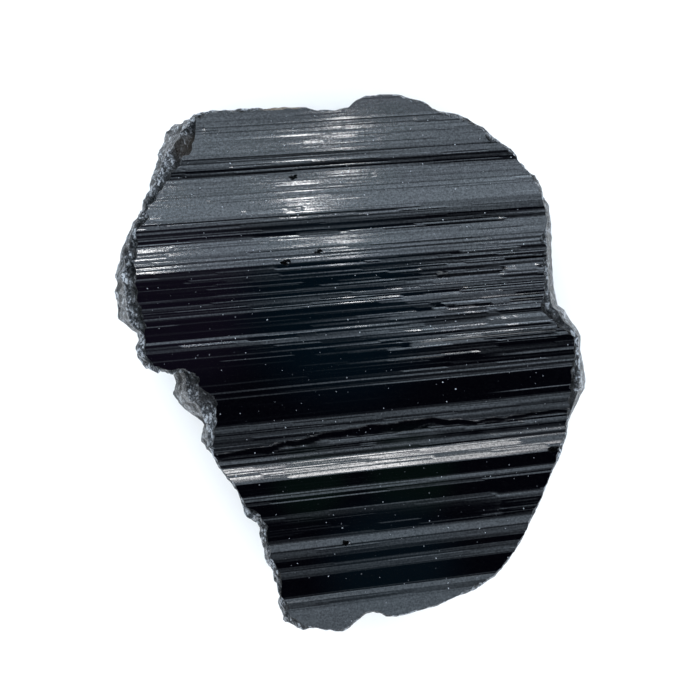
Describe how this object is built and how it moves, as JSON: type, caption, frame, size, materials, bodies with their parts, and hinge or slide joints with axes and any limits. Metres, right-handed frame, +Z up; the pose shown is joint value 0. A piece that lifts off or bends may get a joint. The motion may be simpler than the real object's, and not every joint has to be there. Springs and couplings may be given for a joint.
{
  "type": "tourmaline crystal",
  "caption": "Rough piece of black tourmaline: a domed prism face with long parallel growth ridges, broken ends, and a flat prism face to lie on.",
  "frame": {"origin": "middle of the bounding box in plan, on the plane of the flat prism face that the piece lies on", "axes": "+Z up, out of the striated front; +X close to the direction of the growth lines; +Y across them, towards the wider end"},
  "size_m": [0.0471, 0.0538, 0.021],
  "materials": {
    "tourmaline": "glossy black prism faces with fine growth lines, dull grey-black breaks"
  },
  "bodies": {
    "root": {"tourmaline_crystal": "tourmaline"}
  },
  "joints": []
}
